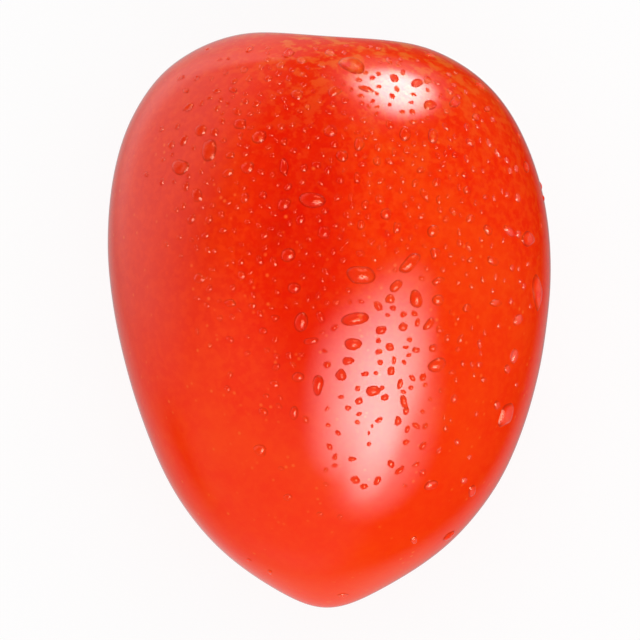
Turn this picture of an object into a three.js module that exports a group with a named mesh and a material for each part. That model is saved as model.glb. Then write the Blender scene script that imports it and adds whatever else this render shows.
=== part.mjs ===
// A ripe plum tomato, whole and without its calyx, lying on its side.
//
// The fruit grew as one piece, so it is one closed solid: a pointed blossom end, a full belly, three soft
// lobes at the shoulders, and a shallow stem cavity with the round corky scar where the stalk broke off.
//
// The surface is a lathe turned from one meridian and then moved by formulas. It is first made upright in
// the fruit's own frame: x to the right, y from the blossom tip up to the stem end, z to the front.
// Then it is laid down on its back, so that +Z is up, +Y points to the stem end, and the origin is the
// middle of the flat spot it rests on, straight below its centre of mass.
//
// Millimetres throughout.

import * as THREE from "three";

const LENGTH = 65.14; // blossom tip to the top of the shoulders, before the beak is added
const GIRTH = 50.7; // widest diameter, side to side
const DEPTH_SHARE = 0.955; // front-to-back thickness as a share of the width

// The half-girth along the fruit is sin(t) times this series in powers of cos(t), where t runs from 0 at
// the blossom tip to 180 degrees at the stem.
const FULLNESS = [0.981, -0.171, 0.119, 0.067, 0.06, -0.203];

// The core line bends sideways by this series in the same powers.
const BEND = [0.37, 0.99, 0.09, -1.6];

const BEAK = { length: 1.306, radius: 5.7 }; // the small point at the blossom end
const LOBES = { count: 3, crest: 38, belly: 0.006, shoulder: 0.03 }; // crest in degrees, swell as a share
const SHOULDER_SLOPE = 0.079; // the right shoulder is lower than the left
const CAVITY = { depth: 4, radius: 6 }; // where the stalk sat
const RIM = { height: 0.1, radius: 10, width: 6 }; // the lobes' crests lift the cavity's rim
const CREASES = { count: 7, crest: 20, depth: 0.12, radius: 5.2, width: 2 }; // puckers round the scar
const SCAR = { radius: 2.9, edge: 0.45, height: 0.35, pit: 0.28, pitRadius: 0.75 };

// Where each feature fades in along the fruit, as shares of its length from the blossom tip.
const SHOULDER_SPAN = [0.5, 1];
const STEM_END_SPAN = [0.5, 0.8];
const BEAK_SPAN = [0.2, 0.5]; // the beak fades out here

const REST_TILT = THREE.MathUtils.degToRad(8.3); // the stem end lies higher than the blossom end
const FLAT_DEPTH = 0.7; // how far the skin is pressed flat where the fruit rests

const SIDES = 72; // facets round the fruit
const BODY_RINGS = 52;
const SCAR_RINGS = 8;
const SCAR_SPAN = 0.108; // the part of t, in radians, that the scar's closer rings take

const SKIN = { color: 0xd3200c, roughness: 0.22, metalness: 0 };

const powerSeries = (terms, value) => terms.reduce((sum, term, power) => sum + term * value ** power, 0);
const bell = (distance, width) => Math.exp(-((distance / width) ** 2));
const wave = (count, angle, crestInDegrees) =>
  Math.cos(count * (angle - THREE.MathUtils.degToRad(crestInDegrees)));

// The meridian before lobes and cavity: half-girth against height, one point for each ring.
function meridian() {
  const points = [];
  for (let ring = 0; ring <= BODY_RINGS + SCAR_RINGS; ring += 1) {
    const t =
      ring <= BODY_RINGS
        ? ((Math.PI - SCAR_SPAN) * ring) / BODY_RINGS
        : Math.PI - SCAR_SPAN * (1 - (ring - BODY_RINGS) / SCAR_RINGS);
    const halfGirth = (GIRTH / 2) * Math.sin(t) * powerSeries(FULLNESS, Math.cos(t));
    points.push(new THREE.Vector2(Math.max(halfGirth, 0), (LENGTH * (1 - Math.cos(t))) / 2));
  }
  points[points.length - 1].x = 0;
  return points;
}

// What the stem end adds to a point's height: the cavity, its lobed rim, the puckers and the corky scar.
function stemEnd(fromAxis, angle) {
  const cavity = -CAVITY.depth * bell(fromAxis, CAVITY.radius);
  const rim = RIM.height * wave(LOBES.count, angle, LOBES.crest) * bell(fromAxis - RIM.radius, RIM.width);
  const creases =
    CREASES.depth *
    wave(CREASES.count, angle, CREASES.crest) *
    bell(fromAxis - CREASES.radius, CREASES.width);
  const button =
    SCAR.height *
    (1 - THREE.MathUtils.smoothstep(fromAxis, SCAR.radius - SCAR.edge, SCAR.radius + SCAR.edge));
  return cavity + rim + creases + button - SCAR.pit * bell(fromAxis, SCAR.pitRadius);
}

// Moves one point of the plain lathe to its place on the fruit.
function growPoint(point) {
  const fromAxis = Math.hypot(point.x, point.z);
  const angle = fromAxis > 0 ? Math.atan2(point.z, point.x) : 0; // 0 to the right, 90 degrees to the front
  const along = point.y / LENGTH;
  const cosine = 1 - 2 * along;
  const shoulder = THREE.MathUtils.smoothstep(along, ...SHOULDER_SPAN);
  const upperHalf = THREE.MathUtils.smoothstep(along, ...STEM_END_SPAN);
  const lowerHalf = 1 - THREE.MathUtils.smoothstep(along, ...BEAK_SPAN);

  const swell = LOBES.belly + LOBES.shoulder * shoulder;
  const radius = fromAxis * (1 + swell * wave(LOBES.count, angle, LOBES.crest));
  const right = radius * Math.cos(angle);
  const beak = BEAK.length * (1 - bell(fromAxis, BEAK.radius) * lowerHalf);

  point.set(
    right + powerSeries(BEND, cosine),
    point.y + beak + upperHalf * stemEnd(fromAxis, angle) - SHOULDER_SLOPE * right * shoulder,
    radius * Math.sin(angle) * DEPTH_SHARE,
  );
}

function movePoints(geometry, move) {
  const positions = geometry.getAttribute("position");
  const point = new THREE.Vector3();
  for (let i = 0; i < positions.count; i += 1) {
    move(point.fromBufferAttribute(positions, i));
    positions.setXYZ(i, point.x, point.y, point.z);
  }
}

// The centre of mass of an evenly dense solid, from the tetrahedra that its faces make with the origin.
function centreOfMass(geometry) {
  const positions = geometry.getAttribute("position");
  const corner = (i) => new THREE.Vector3().fromBufferAttribute(positions, geometry.index.getX(i));
  const moment = new THREE.Vector3();
  let volume = 0;
  for (let i = 0; i < geometry.index.count; i += 3) {
    const [a, b, c] = [corner(i), corner(i + 1), corner(i + 2)];
    const share = a.dot(b.clone().cross(c)) / 6;
    volume += share;
    moment.addScaledVector(a.add(b).add(c), share / 4);
  }
  return moment.divideScalar(volume);
}

// Lays the upright fruit on its back and presses the small flat spot it rests on.
function layDown(geometry) {
  geometry.rotateX(REST_TILT);
  const centre = centreOfMass(geometry);
  geometry.computeBoundingBox();
  geometry.translate(-centre.x, -centre.y, -geometry.boundingBox.min.z - FLAT_DEPTH);
  movePoints(geometry, (point) => point.setZ(Math.max(point.z, 0)));
}

function makeTomato() {
  const geometry = new THREE.LatheGeometry(meridian(), SIDES);
  movePoints(geometry, growPoint);
  layDown(geometry);
  geometry.computeVertexNormals();
  const fruit = new THREE.Mesh(geometry, new THREE.MeshStandardMaterial(SKIN));
  fruit.name = "tomato";
  return fruit;
}

const part = new THREE.Group();
part.add(makeTomato());

export default part;
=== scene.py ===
import math

import bpy
import numpy as np
from mathutils import Matrix, Vector


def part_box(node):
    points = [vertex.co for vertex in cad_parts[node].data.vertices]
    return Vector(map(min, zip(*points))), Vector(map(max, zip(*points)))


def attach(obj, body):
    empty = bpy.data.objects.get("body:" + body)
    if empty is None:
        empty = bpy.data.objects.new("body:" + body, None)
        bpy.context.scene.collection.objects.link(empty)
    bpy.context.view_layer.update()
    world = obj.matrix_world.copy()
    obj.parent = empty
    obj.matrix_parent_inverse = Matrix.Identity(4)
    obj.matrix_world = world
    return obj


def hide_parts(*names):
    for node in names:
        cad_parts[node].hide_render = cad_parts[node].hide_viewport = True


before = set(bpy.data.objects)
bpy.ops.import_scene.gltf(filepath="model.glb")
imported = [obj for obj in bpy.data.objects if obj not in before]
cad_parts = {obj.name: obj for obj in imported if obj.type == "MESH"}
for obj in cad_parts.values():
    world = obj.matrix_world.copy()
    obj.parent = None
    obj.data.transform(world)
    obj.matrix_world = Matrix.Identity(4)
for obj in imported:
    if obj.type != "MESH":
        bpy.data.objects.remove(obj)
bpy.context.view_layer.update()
scene = bpy.context.scene
millimetre = 0.001

# The fruit's own shape in millimetres, upright: x to the right, y from the blossom tip up, z to the front.
fruit = {
    "length": 65.14,
    "girth": 50.7,
    "depthShare": 0.955,  # front-to-back thickness as a share of the width
    "fullness": (0.981, -0.171, 0.119, 0.067, 0.06, -0.203),
    "bend": (0.37, 0.99, 0.09, -1.6),
    "beakLength": 1.306,
    "beakRadius": 5.7,
    "lobeCount": 3,
    "lobeCrest": 38,  # degrees round from the right towards the front
    "lobeBelly": 0.006,
    "lobeShoulder": 0.03,
    "shoulderSlope": 0.079,
    "restTilt": 8.3,  # degrees that the stem end lies higher than the tip
    "shoulderSpan": (0.5, 1),  # shares of the length, from the tip, over which each feature comes in
    "stemEndSpan": (0.5, 0.8),
    "beakSpan": (0.2, 0.5),  # the beak goes out over this one
    "bodyRings": 190,
    "stemRings": 68,
    "stemSpan": 0.3,  # the part of t, in radians, that has the close rings
    "sides": 300,
}

stem = {
    "cavityDepth": 4.0,
    "cavityRadius": 6.0,
    "rimHeight": 0.1,
    "rimRadius": 10.0,
    "rimWidth": 6.0,
    "creaseCount": 7,
    "creaseCrest": 20,
    "creaseDepth": 0.12,
    "creaseRadius": 5.2,
    "creaseWidth": 2.0,
    "scarRadius": 2.9,
    "scarEdge": 0.45,
    "scarHeight": 0.35,
    "pitDepth": 0.28,
    "pitRadius": 0.75,
    "corkGrain": 0.05,  # height of the wavering rays and rings on the scar
    "rayCount": 13,
    "rayCrest": 5,
    "rayTwist": 0.3,
    "rayCurl": 2.1,  # radians for each millimetre from the axis, as ringPitch is
    "ringPitch": 3.3,
    "ringStart": 1.2,
    "grainSpan": (0.4, 1.4),
}

# Low waves that keep the skin from being a perfect lathe.
unevenness = {
    "waves": 16,
    "shortest": 6.0,
    "longest": 24.0,
    "steepness": 0.0006,  # height of a wave over its length
    "calmSpan": (0, 12),  # millimetres from the axis over which they come in
    "seed": 11,
}


def powerSeries(terms, value):
    # terms[0] + terms[1] × value + terms[2] × value² and so on
    return sum(term * value**power for power, term in enumerate(terms))


def bell(distance, width):
    # 1 in the middle, falling as exp(-(distance / width)²)
    return np.exp(-((distance / width) ** 2))


def smoothStep(value, low, high):
    # 0 below low, 1 above high, and 3u² - 2u³ between them
    share = np.clip((value - low) / (high - low), 0, 1)
    return share * share * (3 - 2 * share)


def wave(count, angle, crest):
    # a cosine that goes count times round the fruit, with a crest at the given degrees
    return np.cos(count * (angle - math.radians(crest)))


def halfGirth(t):
    # sin(t) times a series in cos(t), from the tip at t = 0 to the stem at t = pi
    return fruit["girth"] / 2 * np.sin(t) * powerSeries(fruit["fullness"], np.cos(t))


def makeRipples():
    # each ripple is a cosine of a direction times position; its height goes with its length
    draw = np.random.default_rng(unevenness["seed"])
    direction = draw.normal(size=(unevenness["waves"], 3))
    direction /= np.linalg.norm(direction, axis=1)[:, None]
    length = draw.uniform(unevenness["shortest"], unevenness["longest"], unevenness["waves"])
    return {
        "turn": direction * (2 * np.pi / length)[:, None],
        "start": draw.uniform(0, 2 * np.pi, unevenness["waves"]),
        "height": unevenness["steepness"] * length,
    }


ripples = makeRipples()


def rippleHeight(x, y, z):
    # the sum of the ripples' cosines at each point, in millimetres
    turn = ripples["turn"]
    phase = x[..., None] * turn[:, 0] + y[..., None] * turn[:, 1] + z[..., None] * turn[:, 2]
    return np.cos(phase + ripples["start"]) @ ripples["height"]


def stemEnd(fromAxis, angle):
    # the cavity's bell, its lobed rim, the puckers, and the scar's button with a pit and a corky grain
    cavity = -stem["cavityDepth"] * bell(fromAxis, stem["cavityRadius"])
    rim = stem["rimHeight"] * wave(fruit["lobeCount"], angle, fruit["lobeCrest"])
    rim = rim * bell(fromAxis - stem["rimRadius"], stem["rimWidth"])
    creases = stem["creaseDepth"] * wave(stem["creaseCount"], angle, stem["creaseCrest"])
    creases = creases * bell(fromAxis - stem["creaseRadius"], stem["creaseWidth"])
    onScar = 1 - smoothStep(
        fromAxis, stem["scarRadius"] - stem["scarEdge"], stem["scarRadius"] + stem["scarEdge"]
    )
    pit = -stem["pitDepth"] * bell(fromAxis, stem["pitRadius"])
    twist = stem["rayTwist"] * np.sin(stem["rayCurl"] * fromAxis)
    rays = wave(stem["rayCount"], angle + twist, stem["rayCrest"])
    rings = np.sin(stem["ringPitch"] * fromAxis + stem["ringStart"])
    grain = stem["corkGrain"] * rays * rings * smoothStep(fromAxis, *stem["grainSpan"])
    return cavity + rim + creases + onScar * (stem["scarHeight"] + grain) + pit


def uprightSurface(t, angle):
    # The half-girth is carried round the axis, swollen into lobes, bent by a series in cos(t), drawn out
    # at the tip and pressed in at the stem.
    t, angle = np.broadcast_arrays(t, angle)
    cosine = np.cos(t)
    along = (1 - cosine) / 2
    fromAxis = halfGirth(t)
    shoulder = smoothStep(along, *fruit["shoulderSpan"])
    swell = fruit["lobeBelly"] + fruit["lobeShoulder"] * shoulder
    radius = fromAxis * (1 + swell * wave(fruit["lobeCount"], angle, fruit["lobeCrest"]))
    height = fruit["length"] * along
    uneven = rippleHeight(radius * np.cos(angle), height, radius * np.sin(angle))
    radius = radius + uneven * smoothStep(fromAxis, *unevenness["calmSpan"])
    right = radius * np.cos(angle)
    beakPull = bell(fromAxis, fruit["beakRadius"]) * (1 - smoothStep(along, *fruit["beakSpan"]))
    height = height + fruit["beakLength"] * (1 - beakPull)
    height = height + stemEnd(fromAxis, angle) * smoothStep(along, *fruit["stemEndSpan"])
    return np.stack(
        [
            right + powerSeries(fruit["bend"], cosine),
            height - fruit["shoulderSlope"] * right * shoulder,
            radius * np.sin(angle) * fruit["depthShare"],
        ],
        axis=-1,
    )


def tilted(points):
    # turned about X by the rest tilt, so that the front faces up
    tilt = math.radians(fruit["restTilt"])
    cosine, sine = math.cos(tilt), math.sin(tilt)
    x, y, z = np.moveaxis(points, -1, 0)
    return np.stack([x, y * cosine - z * sine, y * sine + z * cosine], -1)


def ringPlaces():
    # even steps of t over the body, then close ones at the stem end; the two poles are left out
    bend = math.pi - fruit["stemSpan"]
    body = np.linspace(0, bend, fruit["bodyRings"] + 1)[1:]
    close = np.linspace(bend, math.pi, fruit["stemRings"] + 1)[1:-1]
    return np.concatenate([body, close])


def findPlace():
    # the move, in millimetres, from the tilted fruit to where the CAD solid lies
    low, high = (np.array(corner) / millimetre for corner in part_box("tomato"))
    around = np.linspace(0, 2 * np.pi, 120)
    points = tilted(uprightSurface(ringPlaces()[:, None], around)).reshape(-1, 3)
    move = (low + high) / 2 - (points.min(0) + points.max(0)) / 2
    move[2] = high[2] - points[:, 2].max()
    return move


place = findPlace()


def skinSurface(t, angle):
    # the fruit as it lies, in metres, pressed flat where it meets the floor
    points = tilted(uprightSurface(t, angle)) + place
    points[..., 2] = np.maximum(points[..., 2], 0)
    return points * millimetre


def skinSlopes(t, angle, step=1e-4):
    # how far the surface moves for each radian of t and of angle, and the outward normal
    alongT = (skinSurface(t + step, angle) - skinSurface(t - step, angle)) / (2 * step)
    alongAngle = (skinSurface(t, angle + step) - skinSurface(t, angle - step)) / (2 * step)
    normal = np.cross(alongT, alongAngle)
    return alongT, alongAngle, normal / np.linalg.norm(normal, axis=-1, keepdims=True)


def buildMesh(name, points, corners, counts):
    # one closed mesh from arrays: all points, all face corners in a row, and the corner count of each face
    mesh = bpy.data.meshes.new(name)
    mesh.vertices.add(len(points))
    mesh.vertices.foreach_set("co", points.astype(np.float32).ravel())
    mesh.loops.add(len(corners))
    mesh.loops.foreach_set("vertex_index", corners.astype(np.int32))
    mesh.polygons.add(len(counts))
    mesh.polygons.foreach_set("loop_start", (np.cumsum(counts) - counts).astype(np.int32))
    mesh.polygons.foreach_set("use_smooth", np.ones(len(counts), bool))
    mesh.update(calc_edges=True)
    mesh.validate()
    piece = bpy.data.objects.new(name, mesh)
    scene.collection.objects.link(piece)
    return piece


def shellFaces(rings, sides, firstPole, firstRing, lastPole):
    # a fan at each pole and a band of quads between each two rings, facing out
    near = np.arange(sides)
    far = (near + 1) % sides
    ring = firstRing + sides * np.arange(rings)[:, None]
    quads = np.stack([ring[:-1] + near, ring[1:] + near, ring[1:] + far, ring[:-1] + far], -1)
    quads = quads.reshape(-1, 4)
    firstFan = np.stack([np.full(sides, firstPole), ring[0] + near, ring[0] + far], -1)
    lastFan = np.stack([ring[-1] + near, np.full(sides, lastPole), ring[-1] + far], -1)
    corners = np.concatenate([firstFan.ravel(), quads.ravel(), lastFan.ravel()])
    counts = np.concatenate([np.full(sides, 3), np.full(len(quads), 4), np.full(sides, 3)])
    return corners, counts


def addAttribute(piece, name, values):
    # one number for each point, which a material reads by its name
    attribute = piece.data.attributes.new(name, "FLOAT", "POINT")
    attribute.data.foreach_set("value", values.astype(np.float32))


def addNode(tree, kind, inputs=None, **settings):
    # a node with its settings, each input a value or the socket that feeds it
    node = tree.nodes.new(kind)
    for name, value in settings.items():
        setattr(node, name, value)
    for name, value in (inputs or {}).items():
        if isinstance(value, bpy.types.NodeSocket):
            tree.links.new(value, node.inputs[name])
        else:
            node.inputs[name].default_value = value
    return node


def mixColours(tree, share, first, second):
    # first where share is 0, second where it is 1
    node = addNode(tree, "ShaderNodeMix", {0: share, 6: first, 7: second}, data_type="RGBA")
    return node.outputs[2]


def ramp(tree, value, low, high, lowTo=0.0, highTo=1.0):
    # value between low and high, eased onto lowTo to highTo
    inputs = {0: value, 1: low, 2: high, 3: lowTo, 4: highTo}
    return addNode(tree, "ShaderNodeMapRange", inputs, interpolation_type="SMOOTHSTEP").outputs[0]


def combine(tree, operation, *values):
    # the values joined one after another by MULTIPLY, ADD, SUBTRACT or MAXIMUM
    result = values[0]
    for value in values[1:]:
        result = addNode(tree, "ShaderNodeMath", {0: result, 1: value}, operation=operation).outputs[0]
    return result


def noiseAt(tree, coordinates, size, detail=2.0, rough=0.5, twist=0.0):
    # noise with features of about the given size in metres
    inputs = {"Vector": coordinates, "Scale": 1 / size, "Detail": detail, "Roughness": rough}
    inputs["Distortion"] = twist
    return addNode(tree, "ShaderNodeTexNoise", inputs).outputs["Fac"]


def attributeAt(tree, name):
    # the number that each point carries under that name
    return addNode(tree, "ShaderNodeAttribute", attribute_name=name).outputs["Fac"]


# Colours are linear red, green and blue; sizes are metres; shares are each layer's strength.
skin = {
    "ripeRed": (0.94, 0.019, 0.001, 1),
    # the band's red: partly the skin's deeper colour, partly painted shade
    "deepShadedRed": (0.83, 0.0095, 0.0006, 1),
    "orangeRed": (0.99, 0.062, 0.003, 1),
    # painted shade: the darker red laid over the left side
    "paintedShadeRed": (0.8, 0.025, 0.003, 1),
    "speck": (0.98, 0.2, 0.03, 1),
    "cork": (0.32, 0.19, 0.09, 1),
    "corkDark": (0.06, 0.03, 0.015, 1),
    "paleRing": (0.93, 0.22, 0.03, 1),
    "deepAndShadedBandCentre": (-0.003, 0.006, 0.045),  # the deep red band down the front, partly the skin's deeper colour and partly painted shade
    "deepAndShadedBandReach": (0.0085, 0.034, 0.03),
    "paintedShadeCentre": (-0.021, 0.014, 0.035),  # painted shade: the smooth left side made a darker red
    "paintedShadeReach": (0.02, 0.034, 0.034),
    "blotchSize": 0.016,
    "blotchShare": 0.55,
    "tipShare": 0.3,
    "mottleSize": 0.0022,
    "mottleShare": 0.4,
    "grainSize": 0.0009,
    "grainShare": 0.5,
    "speckSize": 0.0013,
    "speckShare": 0.4,
    "goldSize": 0.0018,
    "goldShare": 0.6,
    "goldSpan": (11.0, 27.0),  # millimetres from the stem's axis, as the next three are
    "ringSpan": (3.0, 6.5),
    "scarSpan": (2.7, 3.15),
    "fraying": 0.35,
    "ringShare": 0.45,
    "tipSpan": (0.25, 0.6),  # millimetres from the tip's axis
    "roughness": (0.17, 0.25),
    "corkRoughness": 0.85,
    "coatRoughness": 0.09,
    "coatIor": 1.5,
    "poreSize": 0.0009,
    "poreDepth": 0.00001,
    "poreShare": 0.25,
    "glowThrough": 0.12,  # light scattered under the skin, and how far in metres
    "glowReach": 0.002,
    "glowColours": (1.0, 0.25, 0.1),
}


def nearness(tree, where, centre, reach):
    # 1 at the centre, falling straight to 0 at the ellipsoid with the given half-axes
    shift = [-at / half for at, half in zip(centre, reach)]
    inputs = {"Vector": where, "Location": shift, "Scale": [1 / half for half in reach]}
    inside = addNode(tree, "ShaderNodeMapping", inputs).outputs[0]
    ball = addNode(tree, "ShaderNodeTexGradient", {"Vector": inside}, gradient_type="SPHERICAL")
    return ball.outputs["Fac"]


def addRipeness(tree, where, paintedShade, deepAndShadedBand):
    # broad blotches of orange, painted shade darkening the left side, and the deep red band down the front,
    # which is partly painted shade
    blotches = ramp(tree, noiseAt(tree, where, skin["blotchSize"], 2.5, 0.5, 0.4), 0.42, 0.66)
    share = combine(tree, "MULTIPLY", blotches, skin["blotchShare"])
    colour = mixColours(tree, share, skin["ripeRed"], skin["orangeRed"])
    colour = mixColours(tree, ramp(tree, paintedShade, 0.0, 0.6), colour, skin["paintedShadeRed"])
    return mixColours(tree, ramp(tree, deepAndShadedBand, 0.0, 0.75), colour, skin["deepShadedRed"])


def addMottling(tree, where, paintedShade, deepAndShadedBand, colour):
    # mottling in two sizes, weaker in the band, on the left and at the tip, which is orange instead,
    # and then pale specks under the skin
    upFruit = addNode(tree, "ShaderNodeSeparateXYZ", {0: where}).outputs["Y"]
    calm = combine(
        tree,
        "MULTIPLY",
        ramp(tree, deepAndShadedBand, 0.0, 0.6, 1.0, 0.25),
        ramp(tree, paintedShade, 0.0, 0.5, 1.0, 0.4),
        ramp(tree, upFruit, -0.03, 0.012, 0.4, 1.0),
    )
    nearTip = ramp(tree, upFruit, -0.03, 0.005, skin["tipShare"], 0.0)
    colour = mixColours(tree, nearTip, colour, skin["orangeRed"])
    mottle = ramp(tree, noiseAt(tree, where, skin["mottleSize"], 3.0, 0.6), 0.38, 0.66)
    share = combine(tree, "MULTIPLY", mottle, skin["mottleShare"], calm)
    colour = mixColours(tree, share, colour, skin["orangeRed"])
    grain = ramp(tree, noiseAt(tree, where, skin["grainSize"], 2.0, 0.6), 0.42, 0.64)
    share = combine(tree, "MULTIPLY", grain, skin["grainShare"], calm)
    colour = mixColours(tree, share, colour, skin["orangeRed"])
    inputs = {"Vector": where, "Scale": 1 / skin["speckSize"], "Randomness": 1.0}
    cells = addNode(tree, "ShaderNodeTexVoronoi", inputs)
    specks = ramp(tree, cells.outputs["Distance"], 0.05, 0.22, 1.0, 0.0)
    patchy = ramp(tree, noiseAt(tree, where, 0.004, 2.0), 0.45, 0.6)
    share = combine(tree, "MULTIPLY", specks, patchy, skin["speckShare"])
    return mixColours(tree, share, colour, skin["speck"])


def addEnds(tree, where, paintedShade, colour):
    # golden patches and a pale ring round the stem end, the corky scar, and the dry point at the tip
    fromStem = attributeAt(tree, "stemDistance")
    rough = noiseAt(tree, where, 0.0006, 4.0, 0.65)
    patches = ramp(tree, noiseAt(tree, where, skin["goldSize"], 3.0, 0.6), 0.46, 0.62, 0.1, 1.0)
    nearStem = ramp(tree, fromStem, *skin["goldSpan"], skin["goldShare"], 0.0)
    gold = combine(tree, "MULTIPLY", nearStem, patches, ramp(tree, paintedShade, 0.0, 0.4, 1.0, 0.25))
    colour = mixColours(tree, gold, colour, skin["paleRing"])
    frayed = combine(tree, "ADD", ramp(tree, rough, 0.2, 0.8, -skin["fraying"], skin["fraying"]), fromStem)
    onRing = ramp(tree, frayed, *skin["ringSpan"], 1.0, 0.0)
    ringShare = combine(tree, "MULTIPLY", onRing, skin["ringShare"])
    colour = mixColours(tree, ringShare, colour, skin["paleRing"])
    onScar = ramp(tree, frayed, *skin["scarSpan"], 1.0, 0.0)
    cork = mixColours(tree, ramp(tree, rough, 0.35, 0.62), skin["corkDark"], skin["cork"])
    colour = mixColours(tree, onScar, colour, cork)
    onTip = ramp(tree, attributeAt(tree, "tipDistance"), *skin["tipSpan"], 1.0, 0.0)
    colour = mixColours(tree, onTip, colour, skin["corkDark"])
    return colour, combine(tree, "MAXIMUM", onScar, onTip)


def makeSkinMaterial():
    # ripeness, mottling and the two ends, layer over layer, with fine pores under a coat of wax
    material = bpy.data.materials.new("tomatoSkin")
    material.use_nodes = True
    tree = material.node_tree
    shader = tree.nodes["Principled BSDF"]
    where = addNode(tree, "ShaderNodeTexCoord").outputs["Object"]
    # painted shade over the left side
    paintedShade = nearness(tree, where, skin["paintedShadeCentre"], skin["paintedShadeReach"])
    # the deep red band, partly painted shade
    deepAndShadedBand = nearness(tree, where, skin["deepAndShadedBandCentre"], skin["deepAndShadedBandReach"])
    colour = addRipeness(tree, where, paintedShade, deepAndShadedBand)
    colour = addMottling(tree, where, paintedShade, deepAndShadedBand, colour)
    colour, dry = addEnds(tree, where, paintedShade, colour)
    tree.links.new(colour, shader.inputs["Base Color"])

    # the wax is a clear coat, which the dry cork lacks
    waxy = ramp(tree, noiseAt(tree, where, 0.003, 3.0), 0.3, 0.7, *skin["roughness"])
    inputs = {0: dry, 2: waxy, 3: skin["corkRoughness"]}
    roughness = addNode(tree, "ShaderNodeMix", inputs, data_type="FLOAT").outputs[0]
    tree.links.new(roughness, shader.inputs["Roughness"])
    tree.links.new(combine(tree, "SUBTRACT", 1.0, dry), shader.inputs["Coat Weight"])
    pores = noiseAt(tree, where, skin["poreSize"], 3.0, 0.55)
    inputs = {"Height": pores, "Strength": skin["poreShare"], "Distance": skin["poreDepth"]}
    tree.links.new(addNode(tree, "ShaderNodeBump", inputs).outputs[0], shader.inputs["Normal"])

    shader.inputs["Specular IOR Level"].default_value = 0.0
    shader.inputs["Coat Roughness"].default_value = skin["coatRoughness"]
    shader.inputs["Coat IOR"].default_value = skin["coatIor"]
    shader.inputs["Subsurface Weight"].default_value = skin["glowThrough"]
    shader.inputs["Subsurface Radius"].default_value = skin["glowColours"]
    shader.inputs["Subsurface Scale"].default_value = skin["glowReach"]
    return material


def makeFruit():
    # rings of the skin's surface from the tip to the stem, closed by a point at each end
    t = ringPlaces()
    angle = np.arange(fruit["sides"]) * 2 * np.pi / fruit["sides"]
    body = skinSurface(t[:, None], angle).reshape(-1, 3)
    tip = skinSurface(np.array([0.0]), np.array([0.0]))
    top = skinSurface(np.array([math.pi]), np.array([0.0]))
    points = np.concatenate([tip, body, top])
    corners, counts = shellFaces(len(t), fruit["sides"], 0, 1, len(points) - 1)
    piece = buildMesh("tomato_skin", points, corners, counts)

    # millimetres from the axis on the half that has the stem or the tip, and the girth on the other half
    far = fruit["girth"]
    fromStem = np.repeat(np.where(t > math.pi / 2, halfGirth(t), far), fruit["sides"])
    fromTip = np.repeat(np.where(t < math.pi / 2, halfGirth(t), far), fruit["sides"])
    addAttribute(piece, "stemDistance", np.concatenate([[far], fromStem, [0]]))
    addAttribute(piece, "tipDistance", np.concatenate([[0], fromTip, [far]]))
    piece.data.materials.append(makeSkinMaterial())
    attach(piece, "root")
    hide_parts("tomato")
    print("skin:", len(points), "points")
    return piece


# The camera looks straight at the fruit's front, from the side that the photograph was taken from.
shot = {
    "lens": 180,  # millimetres, as the sensor's width is
    "sensor": 36,
    "distance": 368.0,  # millimetres from the camera to the fruit's axis
    "aimRight": -0.98,  # where the picture's middle falls, in the fruit's own millimetres
    "aimUp": 33.06,
    "pictureSide": 640,
}


def cameraAxes():
    # the directions right, up and back of the camera, which is tilted as the fruit is, and its place
    tilt = math.radians(fruit["restTilt"])
    right = np.array([1.0, 0.0, 0.0])
    up = np.array([0.0, math.cos(tilt), math.sin(tilt)])
    back = np.array([0.0, -math.sin(tilt), math.cos(tilt)])
    aim = tilted(np.array([shot["aimRight"], shot["aimUp"], 0.0])) + place
    return right, up, back, (aim + shot["distance"] * back) * millimetre


def makeCamera():
    right, up, back, eye = cameraAxes()
    camera = bpy.data.objects.new("camera", bpy.data.cameras.new("camera"))
    camera.data.lens = shot["lens"]
    camera.data.sensor_width = shot["sensor"]
    camera.data.clip_start = 0.01
    scene.collection.objects.link(camera)
    columns = np.stack([right, up, back, eye], 1)
    camera.matrix_world = Matrix([*columns.tolist(), [0, 0, 0, 1]])
    scene.camera = camera
    print("camera at", np.round(eye, 4))


def focalPixels():
    # how many pixels wide a thing is that is as wide as it is far away
    return shot["lens"] / shot["sensor"] * shot["pictureSide"]


def toPicture(points):
    # pinhole projection: picture position is the offset from the eye over the depth, in pixels
    right, up, back, eye = cameraAxes()
    offset = points - eye
    pixels = focalPixels() / -(offset @ back)
    middle = shot["pictureSide"] / 2
    return np.stack([middle + pixels * (offset @ right), middle - pixels * (offset @ up)], -1)


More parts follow.
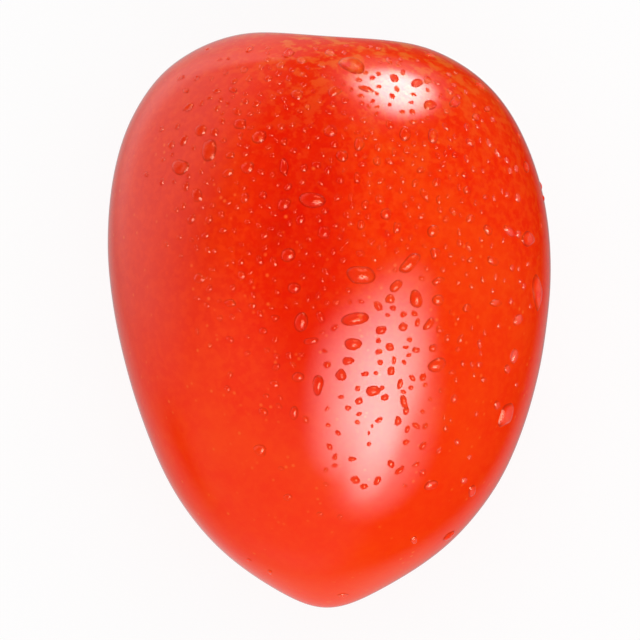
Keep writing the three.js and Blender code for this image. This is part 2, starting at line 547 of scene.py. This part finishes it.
# Big beads, each as picture place x, y, width and height in pixels, and turn in degrees.
bigBeads = (
    (180, 167, 18, 15, 30), (209, 150, 13, 26, -8), (240, 124, 13, 11, 0), (259, 137, 16, 12, 20),
    (312, 200, 25, 17, -15), (325, 211, 8, 6, 30), (284, 167, 9, 17, 0), (304, 168, 7, 9, 0),
    (284, 142, 7, 7, 0), (288, 187, 8, 7, 0), (263, 195, 8, 8, 0), (245, 101, 7, 6, 0),
    (233, 90, 8, 6, 0), (230, 155, 8, 8, 0), (352, 65, 27, 15, -18), (417, 83, 13, 8, -10),
    (430, 105, 13, 10, 0), (366, 89, 17, 5, -20), (359, 144, 11, 13, 0), (366, 137, 7, 5, 20),
    (433, 136, 10, 16, 0), (405, 134, 11, 15, 10), (421, 170, 9, 6, 20), (415, 183, 6, 9, -20),
    (439, 200, 6, 9, 0), (433, 231, 13, 11, 20), (488, 230, 9, 10, 0), (528, 239, 16, 15, 0),
    (455, 102, 10, 12, 0), (476, 117, 8, 8, 0), (487, 109, 7, 7, 0), (455, 155, 6, 6, 0),
    (467, 190, 8, 8, 0), (465, 175, 7, 6, 0), (386, 214, 10, 13, -15), (365, 205, 7, 10, -20),
    (357, 178, 6, 13, 0), (381, 181, 8, 5, 25), (377, 161, 8, 9, 0), (394, 152, 5, 8, 0),
    (342, 156, 11, 13, 0), (361, 225, 8, 9, 0), (397, 228, 7, 13, 0), (526, 167, 9, 12, 0),
    (288, 255, 17, 12, 20), (294, 288, 13, 11, 0), (301, 322, 14, 20, -10), (311, 341, 13, 8, 15),
    (252, 306, 8, 6, 0), (263, 331, 8, 7, 0), (318, 385, 12, 19, 0), (298, 377, 11, 11, 0),
    (294, 413, 9, 13, 0), (276, 367, 8, 7, 0), (275, 318, 8, 7, 0), (230, 303, 11, 8, 0),
    (361, 275, 27, 20, 10), (410, 263, 25, 13, 45), (396, 286, 12, 12, 0), (390, 299, 9, 10, 0),
    (416, 299, 13, 18, 0), (393, 308, 7, 5, 0), (438, 281, 13, 7, 20), (438, 300, 12, 11, 15),
    (355, 319, 25, 15, 10), (381, 330, 11, 9, 10), (403, 327, 9, 9, 0), (429, 324, 8, 15, -40),
    (353, 344, 18, 12, -8), (348, 361, 12, 8, 0), (341, 375, 11, 12, 20), (416, 350, 8, 6, 0),
    (365, 374, 8, 5, 5), (391, 371, 7, 10, -10), (400, 384, 6, 10, -12), (373, 391, 13, 12, 0),
    (382, 388, 5, 5, 0), (359, 401, 7, 8, 20), (348, 408, 6, 6, 0), (359, 414, 6, 4, 0),
    (404, 402, 7, 15, 10), (406, 411, 6, 8, 0), (398, 421, 7, 10, -15), (437, 365, 18, 14, 15),
    (433, 348, 9, 7, 0), (496, 303, 11, 8, 0), (467, 308, 8, 9, 0), (435, 253, 10, 11, 0),
    (493, 261, 13, 8, -30), (471, 260, 8, 6, 20), (483, 280, 5, 7, 0), (512, 268, 5, 6, 0),
    (537, 292, 13, 38, 8), (480, 344, 6, 8, 0), (463, 364, 5, 6, 0), (507, 369, 6, 9, 0),
    (484, 380, 6, 6, 0), (497, 405, 6, 9, 0), (506, 415, 15, 25, -20), (446, 429, 6, 6, 0),
    (431, 485, 14, 9, 20), (472, 491, 8, 13, -10), (449, 536, 15, 11, 35), (343, 595, 10, 4, 0),
    (414, 540, 7, 8, 0), (391, 464, 6, 9, 0), (352, 459, 8, 5, 0), (338, 433, 6, 5, 0),
    (369, 444, 5, 4, 0), (372, 426, 3, 4, 0), (369, 433, 3, 4, 0), (270, 572, 5, 6, 0),
    (249, 560, 5, 4, 0), (266, 396, 6, 5, 0), (486, 197, 6, 5, 0), (186, 91, 6, 5, 0),
)

beads = {
    "bigRings": 9,
    "bigSides": 28,
    "smallRings": 4,
    "smallSides": 10,
    "steepSmall": 0.7,  # height of a small bead over its mean radius, and of a large one
    "steepLarge": 0.5,
    "steepAtEdge": 0.45,  # the share of it that is left where the skin turns away from the front
    "steepRadii": (0.3, 1.6),  # millimetres that count as small and as large
    "frontalSpan": (0.2, 0.6),
    "smallRimShade": 0.92,  # how far the small beads' painted rim shade goes towards that of the large ones
    "mostStretch": 1.7,
    "footShare": 1.02,  # how far out the hidden ring lies, as a share of the rim
    "gridSteps": 420,
    "sunk": 0.05,  # millimetres that a bead's foot goes under the skin
    "skinNearer": 22,  # millimetres that the front skin is nearer to the camera than the axis
    "wobble": 0.1,
    "smallCount": 500,
    "smallestRadius": 0.25,
    "smallLargest": 0.75,
    "smallSpread": 0.5,
    "smallStretch": (0.8, 1.25),
    "seed": 5,
}

# Where the small beads are: the chance of one rises from 0 to 1 over each span.
spray = {
    "tries": 60000,
    "from": (0.44, 0.3, 0.85),  # the way that the wettest skin faces
    "facing": (0.1, 1.0),
    "height": 0.004,  # metres over the floor where the lowest bead may be
    "upFruit": (-0.03, 0.012),  # metres along Y
    "level": (0.45, 0.95),  # how far up the skin faces
    "right": (0.009, 0.018),  # metres along X, where they get fewer again
    "power": 1.3,
    "tipShare": 0.12,  # what is left of the chance at the tip, on steep skin and on the right
    "steepShare": 0.06,
    "rightShare": 0.3,
    "evenLength": 0.025,  # metres for each radian round the fruit where the draws need no evening out
    "ends": (-0.93, 0.97),  # the draws' range of cos(t)
    "gapBehind": 1.35,  # how near two beads may be: this many radii of the first, and that of the second
    "gapAhead": 1.3,
}


def frontGrid():
    # the surface places that face the camera, with their picture positions, to look a pixel up in
    t = np.linspace(0.05, math.pi - 0.2, beads["gridSteps"])[:, None]
    angle = np.linspace(-0.2, math.pi + 0.2, beads["gridSteps"])[None, :]
    t, angle = (part.ravel() for part in np.broadcast_arrays(t, angle))
    facing = skinSlopes(t, angle)[2] @ cameraAxes()[2] > 0.03
    t, angle = t[facing], angle[facing]
    return t, angle, toPicture(skinSurface(t, angle))


def pictureSlopes(t, angle, step=1e-4):
    # the 2 × 2 matrix from a step in t and angle to a step in the picture
    alongT = toPicture(skinSurface(t + step, angle)) - toPicture(skinSurface(t - step, angle))
    alongAngle = toPicture(skinSurface(t, angle + step)) - toPicture(skinSurface(t, angle - step))
    return np.stack([alongT, alongAngle], -1) / (2 * step)


def placeFromPicture(picture):
    # nearest grid place, then three Newton steps
    gridT, gridAngle, gridPicture = frontGrid()
    gap = ((picture[:, None, :] - gridPicture[None, :, :]) ** 2).sum(-1)
    nearest = gap.argmin(1)
    t, angle = gridT[nearest], gridAngle[nearest]
    for _ in range(3):
        miss = picture - toPicture(skinSurface(t, angle))
        step = np.linalg.solve(pictureSlopes(t, angle), miss[..., None])[..., 0]
        t, angle = t + step[:, 0], angle + step[:, 1]
    return t, angle


def pictureSpread(t, angle, shape):
    # From ellipses in the picture to ones in t and angle. The skin's tilt stretches them by 1 / cos(tilt),
    # held to beads["mostStretch"] by raising the smaller singular value of the skin-to-picture map.
    alongT, alongAngle, normal = skinSlopes(t, angle)
    lengthT = np.linalg.norm(alongT, axis=1)
    first = alongT / lengthT[:, None]
    second = np.cross(normal, first)
    toSkin = np.zeros((len(t), 2, 2))
    toSkin[:, 0, 0] = lengthT
    toSkin[:, 0, 1] = (alongAngle * first).sum(1)
    toSkin[:, 1, 1] = (alongAngle * second).sum(1)
    fromSkin = np.linalg.inv(toSkin)
    left, sizes, right = np.linalg.svd(pictureSlopes(t, angle) @ fromSkin)
    sizes = np.maximum(sizes, sizes[:, :1] / beads["mostStretch"])
    back = np.swapaxes(right, 1, 2) @ (np.swapaxes(left, 1, 2) / sizes[:, :, None])
    return fromSkin @ back @ shape


def turned(width, height, degrees):
    # the 2 × 2 matrices of ellipses with those half-axes, turned anticlockwise
    turn = np.radians(degrees)
    cosine, sine = np.cos(turn), np.sin(turn)
    upper = np.stack([cosine * width, -sine * height], -1)
    lower = np.stack([sine * width, cosine * height], -1)
    return np.stack([upper, lower], -2)


def ringShares(rings):
    # how far out each ring of a bead lies: sines of even steps, then the one that goes under the skin
    return np.concatenate([np.sin(np.linspace(0, np.pi / 2, rings + 1))[1:], [beads["footShare"]]])


def beadPoints(t, angle, spread, radius, rings, sides, draw):
    # Each bead is a cap of a sphere on a wavering ellipse. Its height over the skin at a share r of the way
    # out is sqrt(s² - r²) - (s - h), with h the steepness and s the sphere's radius for it.
    count = len(t)
    share = ringShares(rings)
    around = np.arange(sides) * 2 * np.pi / sides
    edge = np.ones((count, sides))
    for turns in (2, 3, 4):
        size = draw.normal(0, beads["wobble"] / (turns - 1), (count, 1))
        edge += size * np.cos(turns * around + draw.uniform(0, 2 * np.pi, (count, 1)))
    out = share[:, None] * edge[:, None, :]
    offset = np.stack([out * np.cos(around), out * np.sin(around)], -1)
    offset = np.einsum("nij,nrsj->nrsi", spread, offset)
    middle, normal = skinSurface(t, angle), skinSlopes(t, angle)[2]
    t = t[:, None, None]
    angle = angle[:, None, None]
    large = smoothStep(radius, *beads["steepRadii"])[:, None]
    steep = beads["steepSmall"] + (beads["steepLarge"] - beads["steepSmall"]) * large
    frontal = smoothStep(np.abs(normal @ cameraAxes()[2]), *beads["frontalSpan"])[:, None]
    steep = steep * (beads["steepAtEdge"] + (1 - beads["steepAtEdge"]) * frontal)
    sphere = (1 + steep**2) / (2 * steep)
    cap = np.sqrt(np.maximum(sphere**2 - share**2, 0)) - (sphere - steep)
    lift = radius[:, None] * cap
    lift[:, -2] = 0
    lift[:, -1] = -beads["sunk"]
    ringT, ringAngle = t + offset[..., 0], angle + offset[..., 1]
    ringPoints = skinSurface(ringT, ringAngle)
    ringPoints = ringPoints + skinSlopes(ringT, ringAngle)[2] * lift[:, :, None, None] * millimetre
    top = middle + normal * radius[:, None] * steep * millimetre
    foot = middle - normal * beads["sunk"] * millimetre
    return np.concatenate([top[:, None], ringPoints.reshape(count, -1, 3), foot[:, None]], 1)


def beadFaces(count, rings, sides):
    # the faces of one bead, repeated with the index of each bead's first point added
    corners, counts = shellFaces(rings, sides, 0, 1, 1 + rings * sides)
    size = 2 + rings * sides
    corners = (corners[None, :] + size * np.arange(count)[:, None]).ravel()
    return corners, np.tile(counts, count)


def creaseRims(piece, rings, sides):
    # the ring where each bead meets the skin is marked sharp, so the bead's shading stays round up to it
    mesh = piece.data
    ends = np.empty(2 * len(mesh.edges), np.int32)
    mesh.edges.foreach_get("vertices", ends)
    ends = ends.reshape(-1, 2) % (2 + rings * sides)
    onRim = (ends > (rings - 2) * sides) & (ends <= (rings - 1) * sides)
    sharp = mesh.attributes.new("sharp_edge", "BOOLEAN", "EDGE")
    sharp.data.foreach_set("value", onRim.all(axis=1))


def storeRimShare(piece, rings, sides, most):
    # each point's share of the way from the middle of its bead to the rim, times most
    share = most * np.concatenate([[0], np.repeat(ringShares(rings - 1), sides), [1]])
    addAttribute(piece, "rimShare", np.tile(share, len(piece.data.vertices) // len(share)))


water = {
    "middle": (1, 1, 1, 1),
    # painted shade: the grey that darkens each bead towards its rim into a dark outline
    "rim": (0.45, 0.45, 0.45, 1),
    "glint": (1.0, 0.74, 0.55, 1),  # the colour of its reflections
    "roughness": 0.18,
    "ior": 1.4,
}


def makeWaterMaterial():
    # clear water with painted shade: a grey tint darkens it towards the rim, by the share of the way out
    # that each point carries
    material = bpy.data.materials.new("clearWater")
    material.use_nodes = True
    tree = material.node_tree
    shader = tree.nodes["Principled BSDF"]
    paintedRimShade = ramp(tree, attributeAt(tree, "rimShare"), 0.7, 1.0)
    colour = mixColours(tree, paintedRimShade, water["middle"], water["rim"])
    tree.links.new(colour, shader.inputs["Base Color"])
    shader.inputs["Roughness"].default_value = water["roughness"]
    shader.inputs["IOR"].default_value = water["ior"]
    shader.inputs["Specular Tint"].default_value = water["glint"]
    shader.inputs["Transmission Weight"].default_value = 1.0
    return material


def makeBigBeads(draw):
    # each oval of the picture is laid on the skin; its mean radius is pixels times depth over focal pixels
    table = np.array(bigBeads, float)
    t, angle = placeFromPicture(table[:, :2])
    shape = turned(table[:, 2] / 2, table[:, 3] / 2, -table[:, 4])
    shape[:, :, 1] *= -1  # the picture's y runs down, so this keeps the faces outward
    spread = pictureSpread(t, angle, shape)
    depth = shot["distance"] - beads["skinNearer"]
    radius = np.sqrt(table[:, 2] * table[:, 3]) / 2 * depth / focalPixels()
    points = beadPoints(t, angle, spread, radius, beads["bigRings"], beads["bigSides"], draw)
    return t, angle, radius, points


def sprayChance(spot, normal, alongAngle):
    # a product of eased spans: facing the spray, over the floor, up the fruit, level, and not far right;
    # the last factor evens out the draws, which are closer together at the fruit's ends
    chance = smoothStep(normal @ np.array(spray["from"]), *spray["facing"]) ** spray["power"]
    chance *= spot[:, 2] > spray["height"]
    upFruit = smoothStep(spot[:, 1], *spray["upFruit"])
    level = smoothStep(normal[:, 2], *spray["level"])
    right = smoothStep(spot[:, 0], *spray["right"])
    chance *= spray["tipShare"] + (1 - spray["tipShare"]) * upFruit
    chance *= spray["steepShare"] + (1 - spray["steepShare"]) * level
    chance *= 1 - (1 - spray["rightShare"]) * right
    return chance * np.linalg.norm(alongAngle, axis=1) / spray["evenLength"]


def keepApart(keen, spot, radius, bigPlaces, bigRadii):
    # the first draws that stay clear of the big beads and of each other
    places, radii, kept = list(bigPlaces), list(bigRadii), []
    for pick in keen:
        gap = np.linalg.norm(np.array(places) - spot[pick], axis=1)
        room = np.array(radii) * spray["gapBehind"] + radius[pick] * spray["gapAhead"]
        if np.all(gap > room * millimetre):
            kept.append(pick)
            places.append(spot[pick])
            radii.append(radius[pick])
        if len(kept) == beads["smallCount"]:
            break
    return np.array(kept)


def makeSmallBeads(draw, bigPlaces, bigRadii):
    # seeded draws over the skin, kept more often where the spray came from and never over another bead
    tries = spray["tries"]
    t = np.arccos(draw.uniform(*spray["ends"], tries))
    angle = draw.uniform(0, 2 * np.pi, tries)
    alongT, alongAngle, normal = skinSlopes(t, angle)
    spot = skinSurface(t, angle)
    radius = beads["smallestRadius"] * np.exp(np.abs(draw.normal(0, beads["smallSpread"], tries)))
    radius = np.minimum(radius, beads["smallLargest"])
    keen = np.flatnonzero(draw.uniform(0, 1, tries) < sprayChance(spot, normal, alongAngle))
    kept = keepApart(keen, spot, radius, bigPlaces, bigRadii)
    t, angle, radius = t[kept], angle[kept], radius[kept]
    stretch = draw.uniform(*beads["smallStretch"], len(kept))
    turn = draw.uniform(0, 180, len(kept))
    shape = turned(radius * stretch * millimetre, radius / stretch * millimetre, turn)
    lengths = [np.linalg.norm(along[kept], axis=1) for along in (alongT, alongAngle)]
    spread = shape / np.stack(lengths, -1)[:, :, None]
    return beadPoints(t, angle, spread, radius, beads["smallRings"], beads["smallSides"], draw)


def makeBeads():
    # Both sizes of bead, each fused in one piece of clear water. They are all that the collection wet
    # holds, and notWet leaves them out, for the panels that light only the one or the other.
    draw = np.random.default_rng(beads["seed"])
    material = makeWaterMaterial()
    t, angle, radius, big = makeBigBeads(draw)
    small = makeSmallBeads(draw, skinSurface(t, angle), radius)
    wet, notWet = bpy.data.collections.new("wet"), bpy.data.collections.new("notWet")
    # the last number of each row is how strong that size's painted rim shade is
    for name, points, rings, sides, rim in (
        ("water_beads_large", big, beads["bigRings"] + 1, beads["bigSides"], 1),
        ("water_beads_small", small, beads["smallRings"] + 1, beads["smallSides"], beads["smallRimShade"]),
    ):
        corners, counts = beadFaces(len(points), rings, sides)
        piece = buildMesh(name, points.reshape(-1, 3), corners, counts)
        creaseRims(piece, rings, sides)
        storeRimShare(piece, rings, sides, rim)
        piece.data.materials.append(material)
        wet.objects.link(piece)
        notWet.objects.link(piece)
        piece.visible_shadow = piece.visible_diffuse = False  # the skin under it is lit like the rest
        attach(piece, "root")
        print(name + ":", len(points), "beads,", len(counts), "faces")
    for member in notWet.collection_objects:
        member.light_linking.link_state = "EXCLUDE"


# Soft panels that only the reflections show. Azimuth goes round from the blossom end to the right,
# elevation up from the floor, both in degrees. Size and away are metres, bright is 1 for white, and core is
# the evenly bright share of the panel. Those with lights shine on the wet beads alone, or on all but them.
panels = {
    "frontWide": {
        "azimuth": 26.5, "elevation": 48, "away": 0.62, "size": (0.99, 0.58), "turn": 6, "bright": 9.6,
        "core": 0,
    },
    "frontLow": {
        "azimuth": 29, "elevation": 31, "away": 0.62, "size": (0.74, 0.9), "turn": -52, "bright": 4,
        "core": 0,
    },
    "frontTip": {
        "azimuth": 21.5, "elevation": 29, "away": 0.62, "size": (0.32, 0.49), "turn": -49, "bright": 4,
        "core": 0.16,
    },
    "stemBox": {
        "azimuth": 157, "elevation": 15.5, "away": 0.7, "size": (0.46, 0.67), "turn": 3, "bright": 15,
        "core": 0.26, "lights": "notWet",
    },
    "stemGlow": {
        "azimuth": 159, "elevation": 11, "away": 0.7, "size": (0.65, 1.19), "turn": 0, "bright": 1.5,
        "core": 0.12, "lights": "notWet",
    },
    "leftWall": {
        "azimuth": -120, "elevation": -5, "away": 0.8, "size": (2.4, 1.8), "turn": -25, "bright": 0.78,
        "core": 0.22,
    },
    "frontGlow": {
        "azimuth": -34, "elevation": 10, "away": 0.8, "size": (2.4, 1.66), "turn": -19, "bright": 0.2,
        "core": 0.44,
    },
    "beadSpark": {
        "azimuth": 40, "elevation": 58, "away": 0.6, "size": (0.6, 0.6), "turn": 0, "bright": 8,
        "core": 0.5, "lights": "wet",
    },
    "stemSpark": {
        "azimuth": 157, "elevation": 30, "away": 0.6, "size": (0.4, 0.4), "turn": 0, "bright": 6,
        "core": 0.5, "lights": "wet",
    },
}

# These lie just over the floor and face up.
floorPanels = {
    "leftFloor": {"at": (-0.052, 0.206), "size": (0.14, 0.84), "turn": 7, "bright": 0.74, "core": 0},
    "nearFloor": {"at": (0.009, -0.012), "size": (0.09, 0.15), "turn": 0, "bright": 0.3, "core": 0.5},
}

stage = {
    "middleHeight": 0.024,  # metres from the floor to the middle of the fruit
    "floorHalf": 3.0,
    "floorDrop": 0.0001,  # the floor is this far under the fruit, and the floor panels are halfway
    "floorColour": (0.12, 0.12, 0.12, 1),
    "floorRoughness": 0.9,
    "floorGlow": 0.87,
    "shadeGlow": 0.35,  # under the fruit, easing out to the full glow at the reach, in metres
    "shadeReach": (0.024, 0.031, 1.0),
    "skyGlow": 0.81,
    "keyAngle": 60,  # degrees across
    "sparkColour": (1.0, 0.6, 0.38),
}

# Broad, weak lamps that light the skin a little more from the front right and from the stem end.
keyLights = {
    "keyLight": {"azimuth": 12, "elevation": 32, "glow": 0.22},
    "stemLight": {"azimuth": 175, "elevation": 18, "glow": 0.23},
}


def towards(azimuth, elevation):
    # the unit vector of an azimuth and an elevation in degrees
    around, up = math.radians(azimuth), math.radians(elevation)
    level = math.cos(up)
    return Vector((math.sin(around) * level, -math.cos(around) * level, math.sin(up)))


def facingBack(away):
    # the turn of a lamp that lies away from the fruit and shines back at it
    return (-away).to_track_quat("-Z", "Y").to_matrix().to_4x4()


def turnAbout(axis, degrees):
    # the matrix of that turn
    return Matrix.Rotation(math.radians(degrees), 4, axis)


def makePanel(name, facts, placed):
    # an area lamp whose brightness eases off from its core to its rim
    width, height = facts["size"]
    lamp = bpy.data.lights.new(name, "AREA")
    lamp.shape = "RECTANGLE"
    lamp.size, lamp.size_y = width, height
    lamp.energy = facts["bright"] * math.pi * width * height
    lamp.use_nodes = True
    tree = lamp.node_tree
    emission = next(node for node in tree.nodes if node.type == "EMISSION")
    across = addNode(tree, "ShaderNodeNewGeometry").outputs["Parametric"]
    inputs = {0: across, 1: (2, 2, 0), 2: (-1, -1, 0)}
    fromMiddle = addNode(tree, "ShaderNodeVectorMath", inputs, operation="MULTIPLY_ADD").outputs[0]
    reach = addNode(tree, "ShaderNodeVectorMath", {0: fromMiddle}, operation="LENGTH").outputs["Value"]
    tree.links.new(ramp(tree, reach, facts["core"], 1.0, 1.0, 0.0), emission.inputs["Strength"])
    panel = bpy.data.objects.new(name, lamp)
    scene.collection.objects.link(panel)
    panel.matrix_world = placed
    panel.visible_diffuse = panel.visible_transmission = False
    if "lights" in facts:
        panel.light_linking.receiver_collection = bpy.data.collections[facts["lights"]]
    if facts.get("lights") == "wet":
        lamp.color = stage["sparkColour"]


def makePanels():
    middle = Matrix.Translation((0, 0, stage["middleHeight"]))
    for name, facts in panels.items():
        away = towards(facts["azimuth"], facts["elevation"])
        out = Matrix.Translation(away * facts["away"])
        makePanel(name, facts, middle @ out @ facingBack(away) @ turnAbout("Z", facts["turn"]))
    for name, facts in floorPanels.items():
        at = Matrix.Translation((*facts["at"], -stage["floorDrop"] / 2))
        makePanel(name, facts, at @ turnAbout("Z", facts["turn"]) @ turnAbout("X", 180))


def makeKeyLights():
    # suns with a wide angle, and an energy of pi times the glow; reflections and water don't show them
    for name, facts in keyLights.items():
        lamp = bpy.data.lights.new(name, "SUN")
        lamp.energy = math.pi * facts["glow"]
        lamp.angle = math.radians(stage["keyAngle"])
        key = bpy.data.objects.new(name, lamp)
        scene.collection.objects.link(key)
        away = towards(facts["azimuth"], facts["elevation"])
        key.matrix_world = facingBack(away)
        key.visible_glossy = key.visible_transmission = False


def makeFloor():
    # a pale square that glows, less so under the fruit, where its shade would be
    half = stage["floorHalf"]
    mesh = bpy.data.meshes.new("floor")
    corners = [(-half, -half, 0), (half, -half, 0), (half, half, 0), (-half, half, 0)]
    mesh.from_pydata(corners, [], [(0, 1, 2, 3)])
    floor = bpy.data.objects.new("floor", mesh)
    scene.collection.objects.link(floor)
    floor.location.z = -stage["floorDrop"]
    material = bpy.data.materials.new("paleFloor")
    material.use_nodes = True
    tree = material.node_tree
    shader = tree.nodes["Principled BSDF"]
    where = addNode(tree, "ShaderNodeTexCoord").outputs["Object"]
    under = nearness(tree, where, (0, 0, 0), stage["shadeReach"])
    glow = ramp(tree, under, 0.0, 1.0, stage["floorGlow"], stage["shadeGlow"])
    tree.links.new(glow, shader.inputs["Emission Strength"])
    shader.inputs["Base Color"].default_value = stage["floorColour"]
    shader.inputs["Roughness"].default_value = stage["floorRoughness"]
    shader.inputs["Specular IOR Level"].default_value = 0.0
    shader.inputs["Emission Color"].default_value = (1, 1, 1, 1)
    mesh.materials.append(material)
    floor.visible_glossy = False


def makeStage():
    # the even sky lights the fruit, and neither reflections nor the water show it
    makeFloor()
    makePanels()
    makeKeyLights()
    world = bpy.data.worlds.new("studio")
    scene.world = world
    world.use_nodes = True
    background = world.node_tree.nodes["Background"]
    background.inputs["Color"].default_value = (1, 1, 1, 1)
    background.inputs["Strength"].default_value = stage["skyGlow"]
    world.cycles_visibility.glossy = world.cycles_visibility.transmission = False
    scene.view_settings.view_transform = "Standard"
    scene.view_settings.look = "None"
    scene.cycles.use_denoising = True
    print("stage: floor, sky, key lights and", len(panels) + len(floorPanels), "panels")


makeCamera()
makeFruit()
makeBeads()
makeStage()
